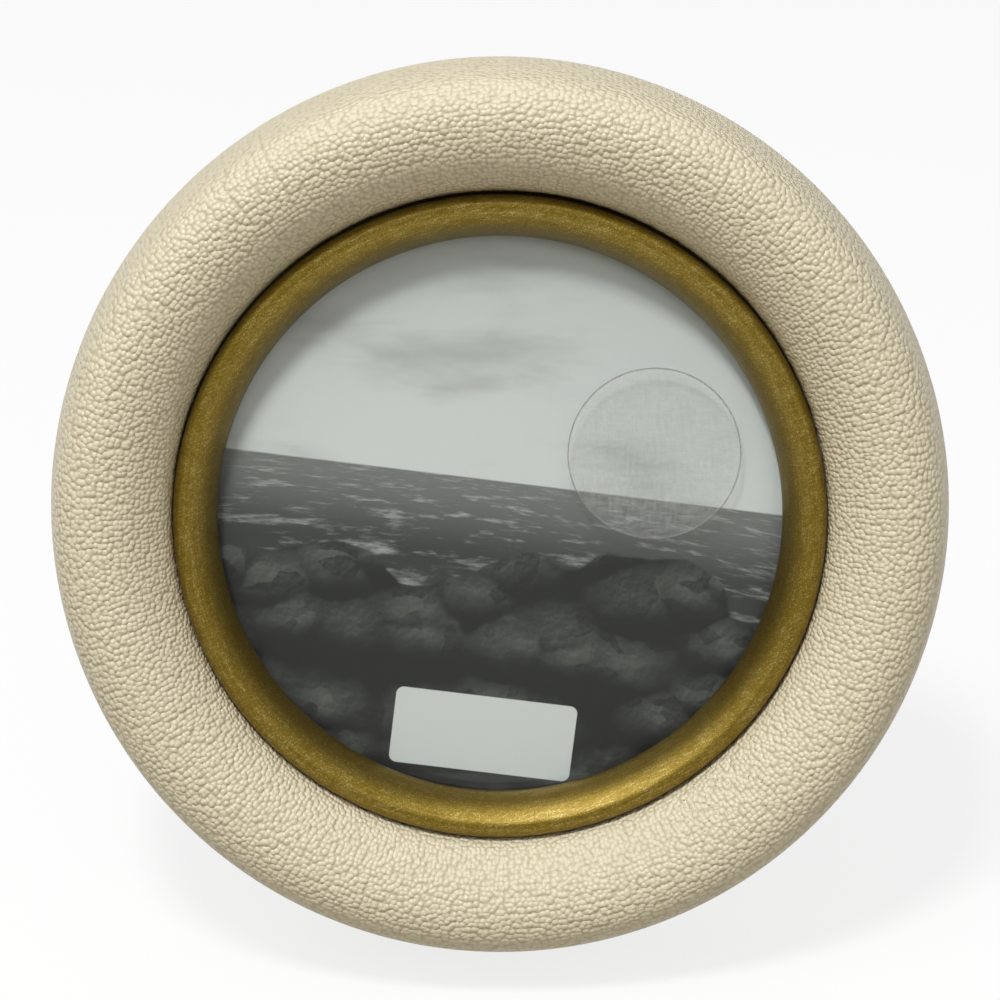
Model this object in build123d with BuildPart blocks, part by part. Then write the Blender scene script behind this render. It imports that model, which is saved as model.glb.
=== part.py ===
from build123d import *
import os
from math import atan2, cos, degrees, radians, sin, tan

# A round easel-back photo frame: a turned wooden ring wrapped in grained leather cloth, a gilt
# ring pressed into its bore, and a glazed picture held by a back panel with a folding leg.
# It stands on the edge of the ring and the foot of the leg, leaning back.
# Millimetres, +Z up, the picture faces -Y, and the origin lies on the floor below the middle.

os.makedirs("parts", exist_ok=True)

# Stance in degrees
lean_angle = 16.0  # frame back from upright
open_angle = 29.0  # opened leg from the back panel

# Picture stack; the rings follow outward from the picture
picture_diameter = 101.6
picture_cover = 3.6  # rim of the picture under the gilt lip
picture_thickness = 0.3
glass_thickness = 2.0
pad_thickness = 9.0
panel_thickness = 3.0
panel_ledge = 2.0  # ledge in the ring that the panel's rim sits on
panel_play = 0.3
rebate_play = 0.5
stack_play = 0.1

# Gilt ring
gilt_width = 7.0  # sight edge to the outside of the gilding
gilt_gap = 0.5  # shadow line between the wrap and the gilding
gilt_fit = 0.15  # glue room in the wooden bore and behind the tucked wrap
gilt_round_radius = 2.55
sight_draft = 28.0  # slope of the sight wall from the ring's axis, in degrees
lip_edge = 0.5  # square edge of the lip over the glass

# Wrapped ring
inner_round_radius = 11.6  # rounded edge from the bore to the crown
flank_width = 9.7  # crown to the outside
shoulder_share = 0.72  # radius of the round outside the crown, as a share of the flank's width
ring_depth = 28.0  # wooden back face to the crown of the wrap
wrap_thickness = 0.9
back_corner_radius = 4.0
tuck_length = 4.4  # straight strip of wrap turned down the bore

# Clear sticker on the glass
sticker_diameter = 29.0
sticker_thickness = 0.1
sticker_inset = 22.9  # rim of the glass to the middle of the sticker
sticker_angle = 22.8  # its direction from the right, in degrees

# Turn buttons and their screws
button_angles = [45.0, 135.0, 225.0, 315.0]
button_thickness = 1.0
button_reach = 9.5  # pivot to the centre of the tip
button_eye_radius = 4.2
button_tip_radius = 2.8
button_edge_radius = 0.25
button_gap = 0.1
button_clearance = 0.55  # button to the recess on one side and to the wrap's edge on the other
screw_radius = 1.4
screw_length = 8.0  # below the wooden back face
screw_point = 2.0
screw_fit = 0.05
screw_head_radius = 2.9
screw_head_side = 0.6
screw_head_height = 1.5
screw_slot_length = 3.4
screw_slot_width = 0.7
screw_slot_depth = 0.8

# Easel leg
leg_thickness = 3.0
leg_top_width = 27.0
leg_waist_width = 24.0
leg_foot_width = 36.0

# Stop hinge
hinge_share = 0.25  # pin above the middle of the frame, as a share of the ring's radius
hinge_gap = 0.3  # turning room
leaf_thickness = 0.8
leaf_length = 16.0  # each leaf, from the pin
leaf_corner_radius = 2.5
barrel_length = 15.0
knuckle_count = 5
knuckle_gap = 0.15
pin_fit = 0.05
pin_head_lip = 0.5
pin_head_length = 0.6
ear_space = 1.2  # barrel end to the stop ear
ear_width = 3.5
stop_gap = 0.05
rivet_radius = 1.3
rivet_fit = 0.05
rivet_head_radius = 2.4
rivet_head_height = 0.9
rivet_flare = 0.7
rivet_spacing = 13.0
rivet_from_pin = 10.5

# Radii and depths that follow; depth runs forward from the wooden back face
picture_radius = picture_diameter / 2
sight_radius = picture_radius - picture_cover
gilt_radius = sight_radius + gilt_width
bore_radius = gilt_radius + gilt_gap
crown_radius = bore_radius + inner_round_radius
outer_radius = crown_radius + flank_width
inner_round_depth = ring_depth - inner_round_radius
tuck_depth = inner_round_depth - tuck_length
corner_radius = outer_radius - back_corner_radius
corner_depth = back_corner_radius - wrap_thickness
wood_bore_radius = bore_radius + wrap_thickness
recess_radius = wood_bore_radius + panel_ledge
picture_depth = panel_thickness + pad_thickness
glass_depth = picture_depth + picture_thickness
glass_front = glass_depth + glass_thickness
lip_depth = glass_front + stack_play

# Outside the crown a round shoulder meets the flank's long arc without a corner
shoulder_radius = shoulder_share * flank_width
shoulder_depth = ring_depth - shoulder_radius
flank_depth = ring_depth - corner_depth
flank_chord = flank_width**2 + flank_depth**2 - 2 * flank_depth * shoulder_radius
flank_radius = flank_chord / (2 * (flank_width - shoulder_radius))
flank_centre = outer_radius - flank_radius
flank_angle = degrees(atan2(shoulder_depth - corner_depth, crown_radius - flank_centre))

# The wrap's edge on the back leaves bare wood for the turn buttons, round the recess
pivot_radius = recess_radius + button_clearance + button_eye_radius
margin_radius = pivot_radius + button_eye_radius + button_clearance

# Hinge sizes that follow; the barrel is as thick as the leg and its leaf together
hinge_up = hinge_share * outer_radius
barrel_radius = (leg_thickness + leaf_thickness) / 2
barrel_room = barrel_radius + hinge_gap
barrel_bore = barrel_radius - leaf_thickness
pin_radius = barrel_bore - pin_fit
knuckle_length = (barrel_length - (knuckle_count - 1) * knuckle_gap) / knuckle_count
knuckle_starts = [i * (knuckle_length + knuckle_gap) - barrel_length / 2 for i in range(knuckle_count)]
leaf_width = barrel_length + 2 * (ear_space + ear_width)
stop_rise = barrel_room - leaf_thickness - stop_gap
ear_length = (stop_rise + barrel_bore * cos(radians(open_angle))) / sin(radians(open_angle))

# The ring's back corner touches the floor, and the whole is centred between its front and its foot
lean = radians(lean_angle)
leg_tilt = radians(open_angle - lean_angle)
frame_height = corner_radius * cos(lean) - corner_depth * sin(lean) + back_corner_radius
pin_height = frame_height + hinge_up * cos(lean) - barrel_room * sin(lean)
front_reach = crown_radius * sin(lean) + shoulder_depth * cos(lean) + shoulder_radius
foot_run = (pin_height + barrel_bore * sin(leg_tilt)) * tan(leg_tilt) + barrel_bore * cos(leg_tilt)
foot_reach = hinge_up * sin(lean) + barrel_room * cos(lean) + foot_run
frame_offset = (front_reach - foot_reach) / 2

# Planes: the frame's face looks forward, the section plane has (radius, depth) as its axes,
# the hinge and leg planes start at the pin, and their side planes have (up, forward) as axes
frame_plane = Plane((0, frame_offset, frame_height), x_dir=(1, 0, 0), z_dir=(0, -cos(lean), sin(lean)))
section_plane = Plane(frame_plane.origin, x_dir=frame_plane.x_dir, z_dir=-frame_plane.y_dir)
ring_axis = Axis(frame_plane.origin, frame_plane.z_dir)
pin_centre = frame_plane.from_local_coords((0, hinge_up, -barrel_room))
hinge_plane = Plane(pin_centre, x_dir=frame_plane.x_dir, z_dir=frame_plane.z_dir)
hinge_side = Plane(pin_centre, x_dir=hinge_plane.y_dir, z_dir=hinge_plane.x_dir)
leg_plane = Plane(pin_centre, x_dir=(1, 0, 0), z_dir=(0, -cos(leg_tilt), -sin(leg_tilt)))
leg_side = Plane(pin_centre, x_dir=leg_plane.y_dir, z_dir=leg_plane.x_dir)
pivot_planes = [
    Plane(frame_plane.location * Rot(Z=angle) * Pos(X=pivot_radius) * Rot(Y=180))
    for angle in button_angles
]
rivet_sides = [-rivet_spacing / 2, rivet_spacing / 2]


def ring_section(inset):
    """Half section of the ring in (radius, depth), set in from the outside of the wrap."""
    back = inset - wrap_thickness
    bore = bore_radius + inset
    with BuildSketch() as section:
        with BuildLine():
            CenterArc((flank_centre, corner_depth), flank_radius - inset, 0, flank_angle)
            CenterArc((crown_radius, shoulder_depth), shoulder_radius - inset, flank_angle, 90 - flank_angle)
            CenterArc((crown_radius, inner_round_depth), inner_round_radius - inset, 90, 90)
            Polyline((bore, inner_round_depth), (bore, back), (corner_radius, back))
            CenterArc((corner_radius, corner_depth), back_corner_radius - inset, -90, 90)
        make_face()
    return section.sketch


def disc(diameter, depth, thickness):
    """Round sheet across the frame, with its back at the given depth."""
    with BuildPart() as sheet:
        with BuildSketch(frame_plane.offset(depth)):
            Circle(diameter / 2)
        extrude(amount=thickness)
    return sheet.part


def rivet(grip):
    """Domed rivet along -Z through a leaf and a board, with its tail flared flush."""
    with BuildPart() as body:
        with BuildSketch(Plane.XZ):
            with BuildLine():
                dome = TangentArc((0, rivet_head_height), (rivet_head_radius, 0), tangent=(1, 0))
                Polyline(
                    dome @ 1,
                    (rivet_radius, 0),
                    (rivet_radius, rivet_flare - grip),
                    (rivet_radius + rivet_flare, -grip),
                    (0, -grip),
                    dome @ 0,
                )
            make_face()
        revolve(axis=Axis.Z)
    return body.part


# Wooden ring with its rounded front, a recess for the back panel and pilot holes for the screws
with BuildPart() as core_ring:
    with BuildSketch(section_plane):
        add(ring_section(wrap_thickness))
        Rectangle(recess_radius, panel_thickness, align=(Align.MIN, Align.MIN), mode=Mode.SUBTRACT)
    revolve(axis=ring_axis)
    with Locations(*pivot_planes):
        Hole(screw_radius + screw_fit, depth=screw_length + screw_fit)
core_ring.part.label = "core_ring"
export_step(core_ring.part, "parts/core_ring.step")

# Leather cloth drawn over the ring, glued onto its back and tucked down its bore
with BuildPart() as leather_wrap:
    with BuildSketch(section_plane):
        add(ring_section(0))
        add(ring_section(wrap_thickness), mode=Mode.SUBTRACT)
        with Locations((0, -wrap_thickness)):
            Rectangle(margin_radius, wrap_thickness, align=(Align.MIN, Align.MIN), mode=Mode.SUBTRACT)
            Rectangle(
                wood_bore_radius,
                wrap_thickness + tuck_depth,
                align=(Align.MIN, Align.MIN),
                mode=Mode.SUBTRACT,
            )
    revolve(axis=ring_axis)
leather_wrap.part.label = "leather_wrap"
export_step(leather_wrap.part, "parts/leather_wrap.step")

# Gilt ring: a shoulder that traps the tucked wrap, a half-round front and a sloped sight wall
gilt_round_centre = gilt_radius - gilt_round_radius
wall_foot = lip_depth + lip_edge
wall_run = (gilt_round_centre - sight_radius) * cos(radians(sight_draft)) - gilt_round_radius
gilt_round_depth = wall_foot + wall_run / sin(radians(sight_draft))
gilt_shoulder_radius = wood_bore_radius - gilt_fit
gilt_shoulder_depth = tuck_depth - gilt_fit
rebate_radius = picture_radius + rebate_play
gilt_back = panel_thickness + stack_play
with BuildPart() as gilt_ring:
    with BuildSketch(section_plane):
        with BuildLine():
            half_round = CenterArc(
                (gilt_round_centre, gilt_round_depth), gilt_round_radius, 0, 180 - sight_draft
            )
            Polyline(
                half_round @ 1,
                (sight_radius, wall_foot),
                (sight_radius, lip_depth),
                (rebate_radius, lip_depth),
                (rebate_radius, gilt_back),
                (gilt_shoulder_radius, gilt_back),
                (gilt_shoulder_radius, gilt_shoulder_depth),
                (gilt_radius, gilt_shoulder_depth),
                half_round @ 0,
            )
        make_face()
    revolve(axis=ring_axis)
gilt_ring.part.label = "gilt_ring"
export_step(gilt_ring.part, "parts/gilt_ring.step")

# Glass under the lip of the gilt ring
with BuildPart() as glass_pane:
    add(disc(picture_diameter, glass_depth, glass_thickness))
glass_pane.part.label = "glass_pane"
export_step(glass_pane.part, "parts/glass_pane.step")

# Clear sticker on the front of the glass
with BuildPart() as clear_sticker:
    with BuildSketch(frame_plane.offset(glass_front)):
        with PolarLocations(picture_radius - sticker_inset, 1, start_angle=sticker_angle):
            Circle(sticker_diameter / 2)
    extrude(amount=sticker_thickness)
clear_sticker.part.label = "clear_sticker"
export_step(clear_sticker.part, "parts/clear_sticker.step")

# Printed paper picture behind the glass
with BuildPart() as picture_insert:
    add(disc(picture_diameter, picture_depth, picture_thickness))
picture_insert.part.label = "picture_insert"
export_step(picture_insert.part, "parts/picture_insert.step")

# Corrugated card pad that presses the picture against the glass
with BuildPart() as card_pad:
    add(disc(picture_diameter, panel_thickness, pad_thickness))
card_pad.part.label = "card_pad"
export_step(card_pad.part, "parts/card_pad.step")

# Back panel in the ring's recess, with countersunk holes for the tails of the hinge rivets
with BuildPart() as back_panel:
    add(disc(2 * (recess_radius - panel_play), 0, panel_thickness))
    with Locations(frame_plane.offset(panel_thickness)):
        with Locations(*[(side, hinge_up + rivet_from_pin) for side in rivet_sides]):
            CounterSinkHole(
                rivet_radius + rivet_fit, rivet_radius + rivet_flare + rivet_fit, counter_sink_angle=90
            )
back_panel.part.label = "back_panel"
export_step(back_panel.part, "parts/back_panel.step")

# Turn buttons: pressed steel drops that turn on their screws and hold the panel's rim
for number, pivot_plane in enumerate(pivot_planes, start=1):
    with BuildPart() as turn_button:
        with BuildSketch(pivot_plane.offset(button_gap)):
            Circle(button_eye_radius)
            with Locations((button_reach, 0)):
                Circle(button_tip_radius)
            make_hull()
            Circle(screw_radius + screw_fit, mode=Mode.SUBTRACT)
        extrude(amount=button_thickness)
        back_face = turn_button.faces().sort_by(Axis(pivot_plane.origin, pivot_plane.z_dir))[-1]
        fillet(back_face.outer_wire().edges(), button_edge_radius)
    turn_button.part.label = f"turn_button_{number}"
    export_step(turn_button.part, f"parts/turn_button_{number}.step")

# Pan head screws that the turn buttons turn on
head_seat = button_thickness + 2 * button_gap
head_top = head_seat + screw_head_height
with BuildPart() as screw:
    with BuildSketch(Plane.XZ):
        with BuildLine():
            head_rim = (screw_head_radius, head_seat + screw_head_side)
            crown = TangentArc((0, head_top), head_rim, tangent=(1, 0))
            Polyline(
                crown @ 1,
                (screw_head_radius, head_seat),
                (screw_radius, head_seat),
                (screw_radius, screw_point - screw_length),
                (0, -screw_length),
                crown @ 0,
            )
        make_face()
    revolve(axis=Axis.Z)
    with BuildSketch(Plane.XY.offset(head_top)):
        Rectangle(screw_slot_length, screw_slot_width)
        Rectangle(screw_slot_width, screw_slot_length)
    extrude(amount=-screw_slot_depth, mode=Mode.SUBTRACT)
with BuildPart() as button_screws:
    with Locations(*pivot_planes):
        add(screw.part)
button_screws.part.label = "button_screws"
export_step(button_screws.part, "parts/button_screws.step")

# Hinge leaf on the panel, with the odd knuckles
with BuildPart() as hinge_back_leaf:
    with BuildSketch(hinge_plane.offset(barrel_room - leaf_thickness)) as back_leaf_outline:
        with Locations((0, barrel_room)):
            Rectangle(leaf_width, leaf_length - barrel_room, align=(Align.CENTER, Align.MIN))
        fillet(back_leaf_outline.vertices().group_by(Axis.Y)[-1], leaf_corner_radius)
        with Locations(*[(start, 0) for start in knuckle_starts[0::2]]):
            Rectangle(knuckle_length, barrel_room, align=(Align.MIN, Align.MIN))
    extrude(amount=leaf_thickness)
    for start in knuckle_starts[0::2]:
        with BuildSketch(hinge_side.offset(start)):
            Circle(barrel_radius)
        extrude(amount=knuckle_length)
    with BuildSketch(hinge_side):
        Circle(barrel_bore)
    extrude(amount=barrel_length, both=True, mode=Mode.SUBTRACT)
    with Locations(hinge_plane.offset(barrel_room)):
        with Locations(*[(side, rivet_from_pin) for side in rivet_sides]):
            Hole(rivet_radius + rivet_fit)
hinge_back_leaf.part.label = "hinge_back_leaf"
export_step(hinge_back_leaf.part, "parts/hinge_back_leaf.step")

# Hinge leaf on the leg, with the even knuckles and the two ears that stop the leg when it is open
with BuildPart() as hinge_leg_leaf:
    with BuildSketch(leg_plane.offset(-barrel_radius)) as leg_leaf_outline:
        with Locations((0, -barrel_room)):
            Rectangle(leaf_width, leaf_length - barrel_room, align=(Align.CENTER, Align.MAX))
        fillet(leg_leaf_outline.vertices().group_by(Axis.Y)[0], leaf_corner_radius)
        with Locations(*[(start, -barrel_room) for start in knuckle_starts[1::2]]):
            Rectangle(knuckle_length, barrel_room, align=(Align.MIN, Align.MIN))
        with GridLocations(leaf_width - ear_width, 0, 2, 1):
            with Locations((0, -barrel_room)):
                Rectangle(ear_width, barrel_room + ear_length, align=(Align.CENTER, Align.MIN))
    extrude(amount=leaf_thickness)
    for start in knuckle_starts[1::2]:
        with BuildSketch(leg_side.offset(start)):
            Circle(barrel_radius)
        extrude(amount=knuckle_length)
    with BuildSketch(leg_side):
        Circle(barrel_bore)
    extrude(amount=barrel_length, both=True, mode=Mode.SUBTRACT)
    with Locations(leg_plane):
        with Locations(*[(side, -rivet_from_pin) for side in rivet_sides]):
            Hole(rivet_radius + rivet_fit)
hinge_leg_leaf.part.label = "hinge_leg_leaf"
export_step(hinge_leg_leaf.part, "parts/hinge_leg_leaf.step")

# Hinge pin with a peened head at each end
pin_reach = barrel_length / 2 + pin_fit
with BuildPart() as hinge_pin:
    with BuildSketch(hinge_side):
        Circle(pin_radius)
    extrude(amount=pin_reach)
    with BuildSketch(hinge_side.offset(pin_reach)):
        Circle(pin_radius + pin_head_lip)
    extrude(amount=pin_head_length)
    mirror(about=Plane.YZ)
hinge_pin.part.label = "hinge_pin"
export_step(hinge_pin.part, "parts/hinge_pin.step")

# Rivets through the back leaf and the panel
with BuildPart() as panel_rivets:
    for side in rivet_sides:
        rivet_spot = Pos(side, rivet_from_pin, barrel_room - leaf_thickness) * Rot(Y=180)
        with Locations(hinge_plane.location * rivet_spot):
            add(rivet(leaf_thickness + panel_thickness))
panel_rivets.part.label = "panel_rivets"
export_step(panel_rivets.part, "parts/panel_rivets.step")

# Board leg, waisted between the hinge and a wide foot that is cut level with the floor
leg_foot = -pin_height / cos(leg_tilt)
with BuildPart() as easel_leg:
    with BuildSketch(leg_plane.offset(-barrel_bore)):
        with BuildLine():
            flank = ThreePointArc(
                (leg_top_width / 2, -barrel_room),
                (leg_waist_width / 2, leg_foot / 2),
                (leg_foot_width / 2, leg_foot),
            )
            Line((0, -barrel_room), flank @ 0)
            Polyline(
                flank @ 1,
                (leg_foot_width / 2, leg_foot - leg_thickness),
                (0, leg_foot - leg_thickness),
            )
            mirror(about=Plane.YZ)
        make_face()
    extrude(amount=leg_thickness)
    split(bisect_by=Plane.XY, keep=Keep.TOP)
    with Locations(leg_plane.offset(barrel_radius)):
        with Locations(*[(side, -rivet_from_pin) for side in rivet_sides]):
            CounterSinkHole(
                rivet_radius + rivet_fit, rivet_radius + rivet_flare + rivet_fit, counter_sink_angle=90
            )
easel_leg.part.label = "easel_leg"
export_step(easel_leg.part, "parts/easel_leg.step")

# Rivets through the leg leaf and the leg
with BuildPart() as leg_rivets:
    for side in rivet_sides:
        rivet_spot = Pos(side, -rivet_from_pin, -barrel_radius) * Rot(Y=180)
        with Locations(leg_plane.location * rivet_spot):
            add(rivet(leaf_thickness + leg_thickness))
leg_rivets.part.label = "leg_rivets"
export_step(leg_rivets.part, "parts/leg_rivets.step")
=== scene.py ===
from math import cos, pi, radians, sin

import bpy
from mathutils import Euler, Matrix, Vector, noise


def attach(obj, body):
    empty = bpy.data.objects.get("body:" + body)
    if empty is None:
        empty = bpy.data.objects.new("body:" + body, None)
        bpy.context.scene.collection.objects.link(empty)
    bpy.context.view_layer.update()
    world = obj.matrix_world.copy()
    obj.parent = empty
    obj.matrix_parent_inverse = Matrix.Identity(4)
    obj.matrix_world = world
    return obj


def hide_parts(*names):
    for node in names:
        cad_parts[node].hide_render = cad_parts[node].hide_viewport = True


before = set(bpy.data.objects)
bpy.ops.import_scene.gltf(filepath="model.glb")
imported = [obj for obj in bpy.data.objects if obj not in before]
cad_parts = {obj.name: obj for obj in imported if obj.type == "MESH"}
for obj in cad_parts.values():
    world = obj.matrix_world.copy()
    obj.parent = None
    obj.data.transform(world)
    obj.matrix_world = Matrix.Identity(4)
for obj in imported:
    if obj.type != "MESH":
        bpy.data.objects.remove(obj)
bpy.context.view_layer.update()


# The wooden ring: turned from fibreboard, with a rounded front and a flat sanded back.
# Everything else is fixed to it. Only a band of its back stays bare, round the back panel.
MM = 0.001
lean = radians(16)
ring_place = Vector((0, 8.0992, 72.3564)) * MM
ring_turn = Euler((pi / 2 - lean, 0, 0))
ring_right, ring_up, ring_front = ring_turn.to_matrix().transposed()
wood_pale = (0.42, 0.30, 0.185, 1)
wood_dark = (0.27, 0.175, 0.10, 1)


class Sock:
    """One output among a material's nodes. Arithmetic on it adds Math nodes."""

    def __init__(self, output):
        self.output = output

    def node(self, kind, settings=None, inputs=None, out=0):
        """Adds a node: its settings first, then the values or links of its inputs."""
        tree = self.output.id_data
        made = tree.nodes.new("ShaderNode" + kind)
        for name, value in (settings or {}).items():
            setattr(made, name, value)
        for name, value in (inputs or {}).items():
            if isinstance(value, Sock):
                tree.links.new(value.output, made.inputs[name])
            else:
                made.inputs[name].default_value = value
        return Sock(made.outputs[out])

    def math(self, operation, *terms):
        return self.node("Math", {"operation": operation}, dict(enumerate(terms)))

    def __add__(self, other):
        return self.math("ADD", self, other)

    __radd__ = __add__

    def __sub__(self, other):
        return self.math("SUBTRACT", self, other)

    def __rsub__(self, other):
        return self.math("SUBTRACT", other, self)

    def __mul__(self, other):
        return self.math("MULTIPLY", self, other)

    __rmul__ = __mul__

    def __truediv__(self, other):
        return self.math("DIVIDE", self, other)

    def __rtruediv__(self, other):
        return self.math("DIVIDE", other, self)

    def __pow__(self, other):
        return self.math("POWER", self, other)

    def __abs__(self):
        return self.math("ABSOLUTE", self)

    def least(self, other):
        return self.math("MINIMUM", self, other)

    def most(self, other):
        return self.math("MAXIMUM", self, other)

    def step(self, low, high):
        """Rises smoothly from 0 at low to 1 at high."""
        ends = {"Value": self, "From Min": low, "From Max": high}
        return self.node("MapRange", {"interpolation_type": "SMOOTHSTEP"}, ends)

    def mix(self, low, high):
        """Colour from low to high by this value."""
        return self.node("Mix", {"data_type": "RGBA"}, {0: self, 6: low, 7: high}, out=2)

    def cloud(self, scale, detail=2.0, roughness=0.5):
        """Noise from 0 to 1 on these coordinates."""
        inputs = {"Vector": self, "Scale": scale, "Detail": detail, "Roughness": roughness}
        return self.node("TexNoise", None, inputs)

    def stretch(self, size, turn=(0, 0, 0), place=(0, 0, 0)):
        """Coordinates from a place, turned, and divided by a size."""
        inputs = {"Vector": self, "Location": place, "Rotation": turn, "Scale": size}
        return self.node("Mapping", {"vector_type": "TEXTURE"}, inputs)

    def shifted(self, field, reach):
        """Coordinates moved by a field of vectors times a reach."""
        inputs = {0: field, 1: reach, 2: self}
        return self.node("VectorMath", {"operation": "MULTIPLY_ADD"}, inputs)

    def part(self, axis):
        return self.node("SeparateXYZ", None, {"Vector": self}, out=axis)

    def bump(self, depth):
        """Normal of a relief of this height, in millimetres."""
        return self.node("Bump", None, {"Distance": depth * MM, "Height": self})


def new_finish(name):
    """A new material, and its coordinates in millimetres on the ring: right, up and forward."""
    made = bpy.data.materials.new(name)
    made.use_nodes = True
    place = Sock(made.node_tree.nodes.new("ShaderNodeTexCoord").outputs["Object"])
    return made, place.stretch((MM, MM, MM), ring_turn, ring_place)


def shade(material, **inputs):
    """Sets or links the inputs of the material's shader."""
    shader = material.node_tree.nodes["Principled BSDF"]
    for name, value in inputs.items():
        socket = shader.inputs[name.replace("_", " ")]
        if isinstance(value, Sock):
            material.node_tree.links.new(value.output, socket)
        else:
            socket.default_value = value


def dress(material, *nodes):
    """Gives CAD nodes this material."""
    for name in nodes:
        for material_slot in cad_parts[name].material_slots:
            material_slot.material = material


wood, spot = new_finish("ring_wood")
fibres = spot.stretch((0.9, 0.35, 0.5), (0, 0, 0.4)).cloud(1.0, 6.0, 0.7)
blotches = spot.cloud(0.12, 3.0)
tone = (fibres * 0.7 + blotches * 0.5 - 0.1).step(0.25, 0.8)
shade(wood, Base_Color=tone.mix(wood_dark, wood_pale), Roughness=0.9 - tone * 0.15)
shade(wood, Normal=fibres.bump(0.06))
dress(wood, "core_ring")


# The leather cover: a ring of grained cream leather cloth on a knitted backing, drawn over the
# wooden ring and glued. Its outer edge is pleated and pressed flat on the back, and its inner
# edge goes down the bore, where the gilt ring hides it.
cover_steps = 720
smooth_angle = radians(40)
cloth_thickness = 0.9 * MM
margin_radius, margin_depth = 67.1, -0.9
corner_centre, corner_radius = (72.0, 3.1), 4.0
flank_centre, flank_radius, flank_angle = (8.57, 3.1), 67.43, 17.24
shoulder_centre, shoulder_radius = (66.3, 21.016), 6.984
bore_round_centre, bore_round_radius, tuck_end = (66.3, 16.4), 11.6, 12.0
tube_middle, tube_flat, tube_girth = (66.3, 12.0), 0.85, 13.0
pebble_size, pebble_scatter, pebble_spread, pebble_round = (0.95, 0.86), 0.74, 1.42, 1.8
grain_height = 0.28
scuff_middle, scuff_near, scuff_far = (37.0, -44.0), 30.0, 190.0
pleat_reach, pleat_run, pleat_count, pleat_depth = 75, 7, 11.0, 0.42
edge_wander, edge_run = 0.3, 3
bore_reach, bore_run, bore_snug = 58, 2.4, 0.36
scallop_reach, scallop_count, bore_scallop = 56.5, 52, 0.13
leather_pale = (0.76, 0.69, 0.505, 1)
# The darker, warmer colour below is painted shade for the valleys of the grain and its creases.
leather_crease_shade = (0.63, 0.55, 0.37, 1)
leather_mark = (0.10, 0.075, 0.045, 1)
backing_pale = (0.62, 0.60, 0.55, 1)
backing_dark = (0.42, 0.40, 0.36, 1)


def arc(centre, radius, start, end, steps):
    """Points of (radius, depth) along a round stretch of the section, without its first."""
    angles = [radians(start + (end - start) * i / steps) for i in range(1, steps + 1)]
    return [(centre[0] + radius * cos(a), centre[1] + radius * sin(a)) for a in angles]


def ring_point(radius, depth):
    """Place of a section point to the right of the ring's middle."""
    return ring_place + (ring_right * radius + ring_front * depth) * MM


def turned(name, section, steps):
    """A new piece: the points of a section joined up and spun round the ring's axis."""
    points = [ring_point(*place) for place in section]
    bpy.ops.object.select_all(action="DESELECT")
    bpy.ops.mesh.primitive_plane_add(size=MM)
    made = bpy.context.active_object
    made.name = name
    bpy.ops.object.mode_set(mode="EDIT")
    bpy.ops.mesh.merge(type="CENTER")
    bpy.ops.transform.translate(value=points[0])
    for start, end in zip(points, points[1:]):
        bpy.ops.mesh.extrude_region_move(TRANSFORM_OT_translate={"value": end - start})
    bpy.ops.mesh.select_all(action="SELECT")
    bpy.ops.mesh.spin(steps=steps, angle=2 * pi, center=ring_place, axis=ring_front)
    bpy.ops.mesh.remove_doubles(threshold=0.01 * MM)
    bpy.ops.mesh.normals_make_consistent(inside=False)
    bpy.ops.object.mode_set(mode="OBJECT")
    return made


margin = corner_centre[0] - margin_radius
section = [(margin_radius + margin * i / 5, margin_depth) for i in range(6)]
section += arc(corner_centre, corner_radius, -90, 0, 6)
section += arc(flank_centre, flank_radius, 0, flank_angle, 10)
section += arc(shoulder_centre, shoulder_radius, flank_angle, 90, 9)
section += arc(bore_round_centre, bore_round_radius, 90, 180, 13)
bore_radius, tuck_start = section[-1]
section += [(bore_radius, tuck_start + (tuck_end - tuck_start) * i / 3) for i in range(1, 4)]
leather_cover = turned("leather_cover", section, cover_steps)
crown = max(leather_cover.data.polygons, key=lambda face: face.center.dot(ring_front))
if crown.normal.dot(ring_front) < 0:
    bpy.ops.object.mode_set(mode="EDIT")
    bpy.ops.mesh.flip_normals()
    bpy.ops.object.mode_set(mode="OBJECT")

leather, spot = new_finish("cream_leather")
across, rise, depth = (spot.part(axis) for axis in range(3))
radius = (across * across + rise * rise) ** 0.5
lap = (depth - tube_middle[1]) * tube_flat
lap = lap.math("ARCTAN2", lap, radius - tube_middle[0]) * (tube_girth / pebble_size[1])
wander = spot.node("TexNoise", None, {"Vector": spot, "Scale": 0.5, "Detail": 2.0}, out=1)


def pebble_field(side):
    """Tightly packed round pebbles, laid on the ring from one side as far as the other."""
    turn = rise.math("ARCTAN2", rise * side, across * side) * (tube_middle[0] / pebble_size[0])
    laid = spot.node("CombineXYZ", None, {0: turn + side * 7.3, 1: lap, 2: 0.0})
    laid = laid.shifted(wander, (0.6, 0.6, 0))
    grain = {"Vector": laid, "Scale": 1.0, "Randomness": pebble_scatter}
    middle = spot.node("TexVoronoi", {"voronoi_dimensions": "2D"}, grain)
    return (1 - (middle * pebble_spread) ** pebble_round).most(0.0)


right_side = across.step(-0.8, 0.8)
pebbles = right_side * pebble_field(1) + (1 - right_side) * pebble_field(-1)
crease_place = spot.stretch((6.5, 3.0, 4.0), (0, 0, radians(24)))
crease_grain = {"Vector": crease_place.shifted(wander, (0.5, 0.5, 0.5)), "Scale": 1.0}
crease_edge = spot.node("TexVoronoi", {"feature": "DISTANCE_TO_EDGE"}, crease_grain)
creases = crease_edge.step(0.0, 0.16)
pores = spot.cloud(6.0, 2.0)
tint = spot.cloud(0.05, 2.0)
relief = pebbles + creases * 0.2 + pores * 0.05
# Painted shade: the valleys between the pebbles and the creases get the darker, warmer crease
# colour.
painted_crease_shade = pebbles.step(0.0, 0.5) * 0.8 + creases * 0.2
scuffs = spot.cloud(2.6, 2.0).step(0.65, 0.7)
east, north = across - scuff_middle[0], rise - scuff_middle[1]
scuffs = scuffs * (1 - (east * east + north * north).step(scuff_near, scuff_far)) * 0.8
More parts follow.
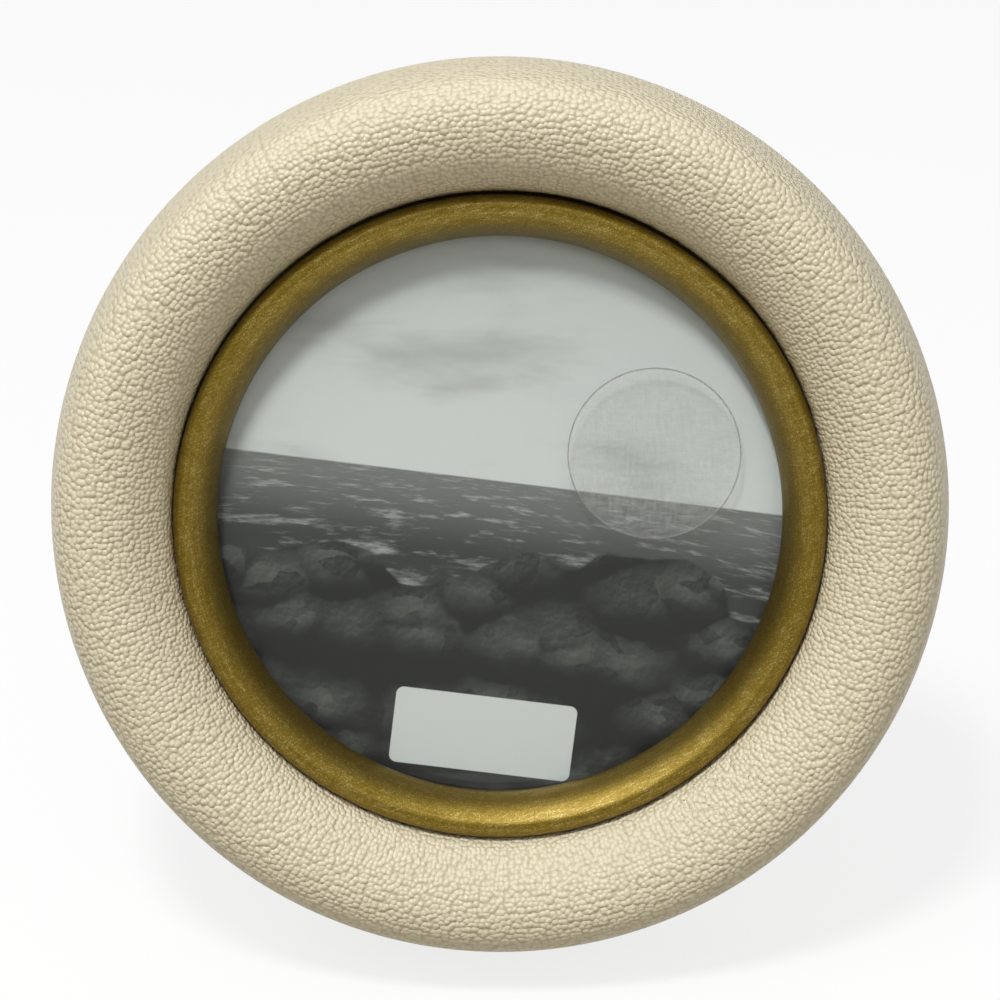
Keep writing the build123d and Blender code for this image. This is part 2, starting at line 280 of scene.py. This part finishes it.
shaded_skin = (painted_crease_shade * (0.84 + tint * 0.24)).mix(leather_crease_shade, leather_pale)
shade(leather, Base_Color=scuffs.mix(shaded_skin, leather_mark), Normal=relief.bump(grain_height))
shade(leather, Roughness=0.44 - pebbles * 0.12 + pores * 0.08)

backing, spot = new_finish("leather_backing")
knit = spot.stretch((0.35, 0.22, 0.3)).node("TexVoronoi", None, {"Scale": 1.0})
shade(backing, Base_Color=knit.step(0.1, 0.8).mix(backing_pale, backing_dark), Roughness=0.92)
shade(backing, Normal=(1 - knit).bump(0.08))
for cloth_side in (leather, backing):
    leather_cover.data.materials.append(cloth_side)

wall = leather_cover.modifiers.new("cloth", "SOLIDIFY")
wall.thickness = cloth_thickness
wall.offset = -1
wall.material_offset = 1
wall.material_offset_rim = 1
bpy.ops.object.modifier_apply(modifier=wall.name)

for vertex in leather_cover.data.vertices:
    reach = vertex.co - ring_place
    across, rise, depth = (reach.dot(axis) / MM for axis in (ring_right, ring_up, ring_front))
    radius = (across**2 + rise**2) ** 0.5
    outward = (ring_right * across + ring_up * rise) / radius
    around = Vector((across, rise, 0)) / radius
    if depth < 0.5 and radius < pleat_reach:
        fold = max(0, 1 - abs(noise.noise(around * pleat_count)) / 0.2) ** 2
        fold *= min(1, (pleat_reach - radius) / pleat_run)
        pressed = pleat_depth * fold if depth < margin_depth / 2 else 0
        trim = edge_wander * max(0, 1 - (radius - margin_radius) / edge_run)
        edge = trim * noise.noise(around * pleat_count * 0.6 + Vector((0, 0, 9)))
        vertex.co += (ring_front * pressed + outward * edge) * MM
    elif radius < bore_reach and depth > tuck_end - 0.5:
        snug = bore_snug * min(1, (bore_reach - radius) / bore_run)
        snug *= min(1, (1 - rise / radius) * 1.1)
        scallop = bore_scallop * noise.noise(around * scallop_count + Vector((0, 0, depth * 0.5)))
        vertex.co += outward * (scallop * (radius < scallop_reach) - snug) * MM
bpy.ops.object.shade_smooth_by_angle(angle=smooth_angle)
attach(leather_cover, "frame")
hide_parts("leather_wrap")


# The gilt ring: a turned wooden moulding with a round front that runs into a sloped sight wall,
# painted in antique gold with a brush and rubbed back. It is pressed into the bore, where its
# shoulder traps the leather, and its lip holds the glass.
gilt_steps = 360
gilt_radius, gilt_middle, gilt_shoulder, gilt_back = 54.2, 14.5, (55.45, 11.85), 3.1
bead_centre, bead_radius, bead_end = (52.2, 18.4), 2.0, 125
slope_centre, slope_radius, slope_end = (56.961, 11.6), 10.3, 155
sight_radius, wall_foot, lip_depth, rebate_radius = 47.2, 15.04, 14.4, 51.3
dark_start, dark_run = 50.9, 2.8
gold_mid = (0.222, 0.145, 0.003, 1)
gold_worn = (0.14, 0.085, 0.002, 1)
gold_bright = (0.58, 0.49, 0.20, 1)
# The darkest gold below is painted shade for the sloped sight wall.
gold_sight_shade = (0.09, 0.057, 0.003, 1)

section = [(gilt_radius, depth) for depth in (gilt_shoulder[1], gilt_middle, bead_centre[1])]
section += arc(bead_centre, bead_radius, 0, bead_end, 14)
section += arc(slope_centre, slope_radius, bead_end, slope_end, 8)
section += [(sight_radius, wall_foot), (sight_radius, lip_depth), (rebate_radius, lip_depth)]
section += [(rebate_radius, gilt_back), (gilt_shoulder[0], gilt_back), gilt_shoulder, section[0]]
gilt_moulding = turned("gilt_moulding", section, gilt_steps)

gilding, spot = new_finish("gilt_paint")
across, rise, depth = (spot.part(axis) for axis in range(3))
radius = (across * across + rise * rise) ** 0.5
brushed = {0: radius * 3 + depth * 2, 1: across / 4, 2: rise / 4}
brush_place = spot.node("CombineXYZ", None, brushed)
strokes = brush_place.cloud(1.0, 3.0, 0.6)
bristles = brush_place.stretch((0.38, 0.8, 0.8)).cloud(1.0, 2.0, 0.6)
slants = spot.stretch((2.4, 0.3, 0.6), (0, 0, radians(22))).cloud(1.0, 3.0, 0.6)
mottle = spot.cloud(0.3, 4.0, 0.6)
sand = spot.cloud(4.2, 2.0, 0.6)
rub = sand * 0.45 + mottle * 0.12 + strokes * 0.18 + slants * 0.25
paint_tone = rub.step(0.36, 0.5).mix(gold_worn, gold_mid)
paint_tone = (rub.step(0.48, 0.7) * 0.8).mix(paint_tone, gold_bright)
# Painted shade: towards the sight wall the gold darkens, standing in for the shade of the recess.
sight_shade = (dark_start - radius).step(0.0, dark_run)
paint_tone = (sight_shade * 0.6).mix(paint_tone, gold_sight_shade)
gloss = 0.45 + (1 - rub) * 0.12 - sight_shade * 0.1
shade(gilding, Base_Color=paint_tone, Metallic=0.9, Roughness=gloss)
shade(gilding, Coat_Weight=0.4, Coat_Roughness=0.4)
shade(gilding, Normal=(bristles * 0.35 + sand * 0.35 + slants * 0.3).bump(0.06))
gilt_moulding.data.materials.append(gilding)
bpy.ops.object.shade_smooth_by_angle(angle=smooth_angle)
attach(gilt_moulding, "frame")
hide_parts("gilt_ring")


# The picture: a round sheet of satin photo paper behind the glass, printed in black and white.
# It holds a plain view of the sea beyond dark boulders, with a blank white panel near its foot.
picture_tilt = radians(-7)
horizon, shore = 6.0, -7.0
boulder_wide, boulder_high = 13.0, 9.0
panel_middle, panel_half, panel_round = (1.74, -37.97), (15.5, 6.65), 1.3
sky_low = (0.72, 0.75, 0.745, 1)
sky_high = (0.62, 0.65, 0.645, 1)
cloud_grey = (0.46, 0.48, 0.475, 1)
water_far = (0.20, 0.205, 0.20, 1)
water_near = (0.04, 0.041, 0.039, 1)
foam_grey = (0.50, 0.51, 0.50, 1)
stone_dark = (0.008, 0.0085, 0.0075, 1)
stone_pale = (0.125, 0.128, 0.119, 1)
panel_white = (0.72, 0.75, 0.735, 1)
paper_tone = (0.2, 0.2, 0.2, 1)

printed, spot = new_finish("printed_paper")
spot = spot.stretch((1, 1, 1), (0, 0, picture_tilt))
across, rise = spot.part(0), spot.part(1)
drift = spot.stretch((34.0, 11.0, 1.0)).cloud(1.0, 6.0, 0.55)
wisps = spot.stretch((15.0, 3.5, 1.0), (0, 0, radians(8))).cloud(1.0, 5.0, 0.6)
scene = (rise - horizon).step(0.0, 44.0).mix(sky_low, sky_high)
scene = ((drift * 0.75 + wisps * 0.25).step(0.47, 0.7) * 0.8).mix(scene, cloud_grey)

below = (horizon - rise).most(0.0)
row = (below + 1.2).math("LOGARITHM", below + 1.2, 1.25)
swell_place = spot.node("CombineXYZ", None, {0: across / (below * 0.8 + 5), 1: row, 2: 0.0})
swell = swell_place.cloud(1.0, 5.0, 0.6)
chop = swell_place.stretch((0.25, 0.3, 1.0)).cloud(1.0, 4.0, 0.6)
water = below.step(0.0, 15.0).mix(water_far, water_near)
water = ((swell * 0.65 + chop * 0.35).step(0.5, 0.68) * 0.8).mix(water, foam_grey)
scene = below.step(0.0, 0.35).mix(scene, water)

stone_place = spot.stretch((boulder_wide, boulder_high, 1.0))
ragged = spot.node("TexNoise", None, {"Vector": spot, "Scale": 0.16, "Detail": 3.0}, out=1)
stone_place = stone_place.shifted(ragged, (0.5, 0.5, 0.0))
stone = {"Vector": stone_place, "Scale": 1.0, "Smoothness": 0.25, "Randomness": 0.9}
flat = {"feature": "SMOOTH_F1", "voronoi_dimensions": "2D"}
gap = spot.node("TexVoronoi", flat, stone)
stone_middle = spot.node("TexVoronoi", flat, stone, out=2)
lifted = stone_place.part(1) - stone_middle.part(1)


def crags(place):
    """Rough rock seen from a place a little to one side."""
    return spot.stretch((1, 1, 1), (0, 0, 0), place).cloud(0.5, 9.0, 0.62)


sunlit = ((crags((0, 0, 0)) - crags((-0.25, 0.4, 0))) * 2.6 + 0.42).step(0.05, 1.0)
facet = {"Vector": stone_place.stretch((0.3, 0.34, 1.0)), "Scale": 1.0, "Randomness": 1.0}
facets = spot.node("TexVoronoi", {"voronoi_dimensions": "2D"}, facet, out=1).part(0)
lit = (1 - gap * 1.3).most(0.0) * (lifted + 0.42).step(0.0, 0.8)
lit = lit * (0.15 + facets * 0.9 + sunlit * 0.7)
stones = lit.mix(stone_dark, stone_pale)
bank = spot.stretch((21.0, 60.0, 1.0)).cloud(1.0, 1.0, 0.4)
scene = (shore + (bank - 0.5) * 24 - rise - gap * 4.5).step(-0.25, 0.4).mix(scene, stones)

side = (abs(across - panel_middle[0]) - (panel_half[0] - panel_round)).most(0.0)
top = (abs(rise - panel_middle[1]) - (panel_half[1] - panel_round)).most(0.0)
panel = 1 - (((side * side + top * top) ** 0.5) - panel_round).step(-0.08, 0.08)
scene = panel.mix(scene, panel_white)
paper_grain = spot.cloud(5.0, 2.0)
scene = (paper_grain * 0.06).mix(scene, paper_tone)
shade(printed, Base_Color=scene, Roughness=0.5 + paper_grain * 0.1, Normal=paper_grain.bump(0.008))
dress(printed, "picture_insert")


# The pad: a disc of corrugated card that presses the picture against the glass.
# It shows only when the back panel is off.
card_pale = (0.48, 0.34, 0.20, 1)
card_dark = (0.36, 0.245, 0.135, 1)
flute_pitch = 4.0

card, spot = new_finish("corrugated_card")
wave = spot.part(0) * (2 * pi / flute_pitch)
flutes = wave.math("SINE", wave)
pulp = spot.stretch((1.4, 0.5, 0.8)).cloud(1.0, 5.0, 0.65)
card_tone = (pulp + flutes * 0.06).step(0.3, 0.7)
shade(card, Base_Color=card_tone.mix(card_dark, card_pale), Roughness=0.85 + pulp * 0.1)
shade(card, Normal=(flutes * 0.5 + pulp * 0.3).bump(0.12))
dress(card, "card_pad")


# The glass: a thin disc of float glass, cut with a wheel, with its sharp edges ground off.
# It lies under the lip of the gilt ring, clear but for what its two faces mirror.
pane_radius, pane_back, pane_front, ground_edge = 50.8, 12.34, 14.27, 0.3
pane_middle = ring_place + ring_front * (pane_back + pane_front) / 2 * MM

bpy.ops.object.select_all(action="DESELECT")
bpy.ops.mesh.primitive_cylinder_add(
    vertices=160, radius=pane_radius * MM, depth=(pane_front - pane_back) * MM,
    location=pane_middle, rotation=ring_turn,
)
pane = bpy.context.active_object
pane.name = "glass_disc"
grinding = pane.modifiers.new("grinding", "BEVEL")
grinding.width = ground_edge * MM
grinding.limit_method = "ANGLE"
bpy.ops.object.modifier_apply(modifier=grinding.name)
bpy.ops.object.transform_apply(location=True, rotation=True, scale=True)

glass, spot = new_finish("clear_glass")
facing = spot.node("LayerWeight", None, {"Blend": 0.5}, out=1)
dust = spot.cloud(3.0, 2.0).step(0.72, 0.82)
mirrored = 0.022 + 0.978 * facing**5
mirror = spot.node("BsdfGlossy", None, {"Color": (0.97, 1.0, 0.985, 1), "Roughness": 0.02})
clear = spot.node("BsdfTransparent", None, {"Color": (0.985, 0.995, 0.99, 1)})
faces = spot.node("MixShader", None, {0: mirrored, 1: clear, 2: mirror})
haze = spot.node("BsdfDiffuse", None, {"Color": (0.8, 0.8, 0.78, 1)})
faces = spot.node("MixShader", None, {0: dust * 0.015, 1: faces, 2: haze})
glass.node_tree.links.new(faces.output, glass.node_tree.nodes["Material Output"].inputs["Surface"])
pane.data.materials.append(glass)
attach(pane, "frame")
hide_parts("glass_pane")


# The sticker: a die-cut disc of clear plastic film, stuck to the front of the glass.
# The film is blank, a little milky and faintly woven, with a thin grey line along its cut edge.
film_middle, film_radius = (25.72, 10.81), 14.5
film_pale = (0.86, 0.88, 0.87, 1)
film_edge = (0.22, 0.225, 0.22, 1)

film, spot = new_finish("clear_film")
from_middle = spot.stretch((1, 1, 1), (0, 0, 0), (film_middle[0], film_middle[1], 0))
across, rise = from_middle.part(0), from_middle.part(1)
radius = (across * across + rise * rise) ** 0.5
rim = radius.step(film_radius - 0.4, film_radius - 0.12)
warp = from_middle.stretch((2.5, 0.35, 1.0)).cloud(1.0, 2.0)
weft = from_middle.stretch((0.35, 2.5, 1.0)).cloud(1.0, 2.0)
film_tone = rim.mix(film_pale, film_edge)
milk = spot.node("BsdfPrincipled", None, {"Base Color": film_tone, "Roughness": 0.28})
clear = spot.node("BsdfTransparent")
milkiness = 0.03 + (warp + weft).step(0.75, 1.3) * 0.07 + rim * 0.32
shown = spot.node("MixShader", None, {0: milkiness, 1: clear, 2: milk})
film.node_tree.links.new(shown.output, film.node_tree.nodes["Material Output"].inputs["Surface"])
dress(film, "clear_sticker")


# The back panel and the leg: fibreboard faced with black paper and cut with a die, so that the
# cut edges show the brown board. The turn buttons hold the panel, and a hinge holds the leg.
paper_black = (0.016, 0.0155, 0.015, 1)
paper_grey = (0.045, 0.043, 0.041, 1)
board_brown = (0.17, 0.115, 0.068, 1)
leg_tilt = radians(13)


def black_board(name, face):
    """Black paper on the sides that look along face, and bare board on the cut edges."""
    made, spot = new_finish(name)
    looks = Sock(made.node_tree.nodes["Texture Coordinate"].outputs["Normal"])
    along = abs(spot.node("VectorMath", {"operation": "DOT_PRODUCT"}, {0: looks, 1: face}, out=1))
    fibre = spot.stretch((1.8, 0.5, 0.5), (0, 0, 0.6)).cloud(1.0, 5.0, 0.7)
    emboss = spot.node("TexVoronoi", {"feature": "SMOOTH_F1"}, {"Vector": spot, "Scale": 1.6})
    rubbed = spot.cloud(0.08, 4.0, 0.6)
    tone = (fibre * 0.6 + rubbed * 0.4).step(0.4, 0.72)
    paper = tone.mix(paper_black, paper_grey)
    edge = (fibre * 0.5 + 0.25).mix(paper_black, board_brown)
    faced = along.step(0.75, 0.9)
    shade(made, Base_Color=faced.mix(edge, paper), Roughness=0.62 + fibre * 0.2 + rubbed * 0.08)
    shade(made, Normal=(fibre * 0.4 + (1 - emboss) * 0.6).bump(0.07))
    return made


dress(black_board("panel_board", ring_front), "back_panel")
dress(black_board("leg_board", (0, -cos(leg_tilt), -sin(leg_tilt))), "easel_leg")


# The turn buttons, screws, hinge and rivets: pressed and drawn steel with a thin zinc plating.
# The buttons turn on the screws, and the leaves are riveted to the panel and to the leg.
zinc_pale = (0.66, 0.67, 0.67, 1)
zinc_dark = (0.36, 0.365, 0.37, 1)


def zinc(name, scratch_size, scratch_turn, gloss):
    """Zinc-plated steel with rolling marks along one way, cloudy spots and a few dull stains."""
    made, spot = new_finish(name)
    rolled = spot.stretch(scratch_size, (0, 0, scratch_turn)).cloud(1.0, 3.0, 0.6)
    spangle = spot.node("TexVoronoi", {"feature": "SMOOTH_F1"}, {"Vector": spot, "Scale": 0.9})
    stain = spot.cloud(0.5, 4.0, 0.65)
    tone = (rolled * 0.5 + stain * 0.35 + spangle * 0.15).step(0.3, 0.62)
    shade(made, Base_Color=tone.mix(zinc_dark, zinc_pale), Metallic=1.0)
    shade(made, Roughness=gloss + stain * 0.18 + rolled * 0.08, Normal=rolled.bump(0.02))
    return made


hinge_zinc = zinc("hinge_steel", (9.0, 0.16, 0.3), 0, 0.24)
dress(hinge_zinc, "hinge_back_leaf", "hinge_leg_leaf", "hinge_pin")
button_zinc = zinc("button_steel", (0.2, 5.0, 0.4), radians(30), 0.2)
dress(button_zinc, *[f"turn_button_{number}" for number in range(1, 5)])
dress(zinc("screw_steel", (0.5, 0.5, 0.5), 0, 0.16), "button_screws")
dress(zinc("rivet_steel", (0.6, 0.6, 0.6), 0, 0.18), "panel_rivets", "leg_rivets")


# The stage: a wide pale floor, a soft lamp high in front, two weaker ones to its sides and a
# plain sky. The camera stands where the photograph was taken, a little above the ring's axis.
floor_pale = (0.9, 0.9, 0.9, 1)
floor_bounce = (0.38, 0.34, 0.265, 1)
floor_reach = 40.0
sky_foot = (0.11, 0.105, 0.095, 1)
sky_top = (0.54, 0.54, 0.54, 1)
lamp_target = Vector((0, 0, 0.07))
view_rise, view_from = radians(26.73), 0.453
ring_face, view_lift = 16, 3.28
sensor_width, lens = 36, 97.85

bpy.ops.mesh.primitive_circle_add(vertices=96, radius=floor_reach, fill_type="NGON")
floor = bpy.context.active_object
floor.name = "floor"
floor_paint = bpy.data.materials.new("floor_paint")
floor_paint.use_nodes = True
spot = Sock(floor_paint.node_tree.nodes.new("ShaderNodeTexCoord").outputs["Object"])
ways = ("Is Camera Ray", "Is Glossy Ray", "Is Transmission Ray")
sight = sum(spot.node("LightPath", None, None, way) for way in ways).least(1.0)
matt = spot.node("BsdfDiffuse", None, {"Color": sight.mix(floor_bounce, floor_pale)})
glow = spot.node("Emission", None, {"Color": (1, 1, 1, 1), "Strength": 1.0})
lit = spot.node("MixShader", None, {0: sight * 0.8, 1: matt, 2: glow})
floor_end = floor_paint.node_tree.nodes["Material Output"]
floor_paint.node_tree.links.new(lit.output, floor_end.inputs["Surface"])
floor.data.materials.append(floor_paint)


def lamp(name, place, size, power):
    """A square soft lamp at a place, looking at the middle of the frame."""
    light = bpy.data.lights.new(name, "AREA")
    light.size = size
    light.energy = power
    made = bpy.data.objects.new(name, light)
    made.location = place
    made.rotation_euler = (lamp_target - Vector(place)).to_track_quat("-Z", "Y").to_euler()
    bpy.context.scene.collection.objects.link(made)


lamp("key_lamp", (-0.27, -0.49, 1.40), size=0.24, power=12.4)
lamp("side_lamp", (-0.64, -0.43, 0.99), size=0.6, power=2.5)
lamp("fill_lamp", (0.60, -0.75, 0.55), size=0.5, power=0.9)

world = bpy.data.worlds.new("studio")
bpy.context.scene.world = world
world.use_nodes = True
aim = Sock(world.node_tree.nodes.new("ShaderNodeTexCoord").outputs["Generated"])
sky = aim.part(2).step(-0.2, 1.0).mix(sky_foot, sky_top)
world.node_tree.links.new(sky.output, world.node_tree.nodes["Background"].inputs["Color"])
bpy.context.scene.view_settings.view_transform = "Standard"

look_at = ring_place + ring_front * ring_face * MM
view_back = Vector((0, -cos(view_rise), sin(view_rise)))
view_up = Vector((0, sin(view_rise), cos(view_rise)))
camera = bpy.data.objects.new("camera", bpy.data.cameras.new("camera"))
camera.data.sensor_width = sensor_width
camera.data.lens = lens
camera.location = look_at + view_back * view_from
aim_at = look_at + view_up * view_lift * MM
camera.rotation_euler = (aim_at - camera.location).to_track_quat("-Z", "Y").to_euler()
camera.data.clip_start = 0.01
bpy.context.scene.collection.objects.link(camera)
bpy.context.scene.camera = camera
